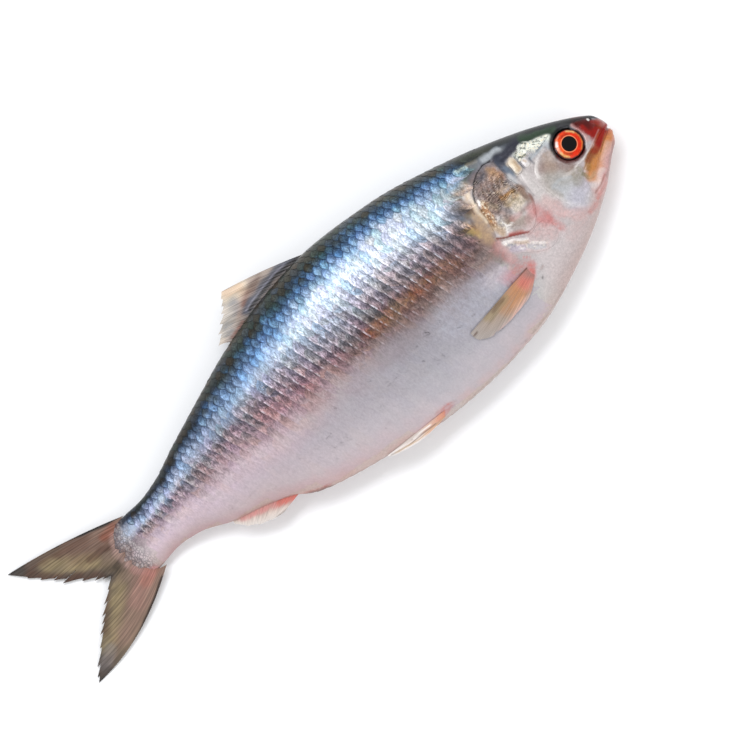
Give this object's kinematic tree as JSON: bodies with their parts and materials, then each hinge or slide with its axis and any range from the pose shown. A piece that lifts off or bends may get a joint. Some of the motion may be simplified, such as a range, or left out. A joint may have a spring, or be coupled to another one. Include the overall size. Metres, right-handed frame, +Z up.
{
  "type": "whole raw fish",
  "caption": "Whole uncut river shad, lying on its left side, with silver scaled skin, open forked tail fin and folded paired fins.",
  "frame": {"origin": "on the surface the fish lies on, under the middle of its bounding box", "axes": "+X along the fish towards the snout, +Y towards its back, +Z up out of its right flank"},
  "size_m": [0.4, 0.1312, 0.0451],
  "materials": {
    "skin": "wet silver scales, blue-grey on the back and warm grey on the belly",
    "dark_fin": "thin translucent brown and grey fin skin over fine rays",
    "pale_fin": "thin translucent cream fin skin, orange and red at its root",
    "eye": "wet, clear over an orange-red iris and a black pupil"
  },
  "bodies": {
    "root": {"body": "skin", "tail_fin": "dark_fin", "dorsal_fin": "dark_fin", "anal_fin": "pale_fin", "eye_right": "eye", "pectoral_fin_right": "pale_fin", "pelvic_fin_right": "pale_fin", "eye_left": "eye", "pectoral_fin_left": "pale_fin", "pelvic_fin_left": "pale_fin"}
  },
  "joints": []
}
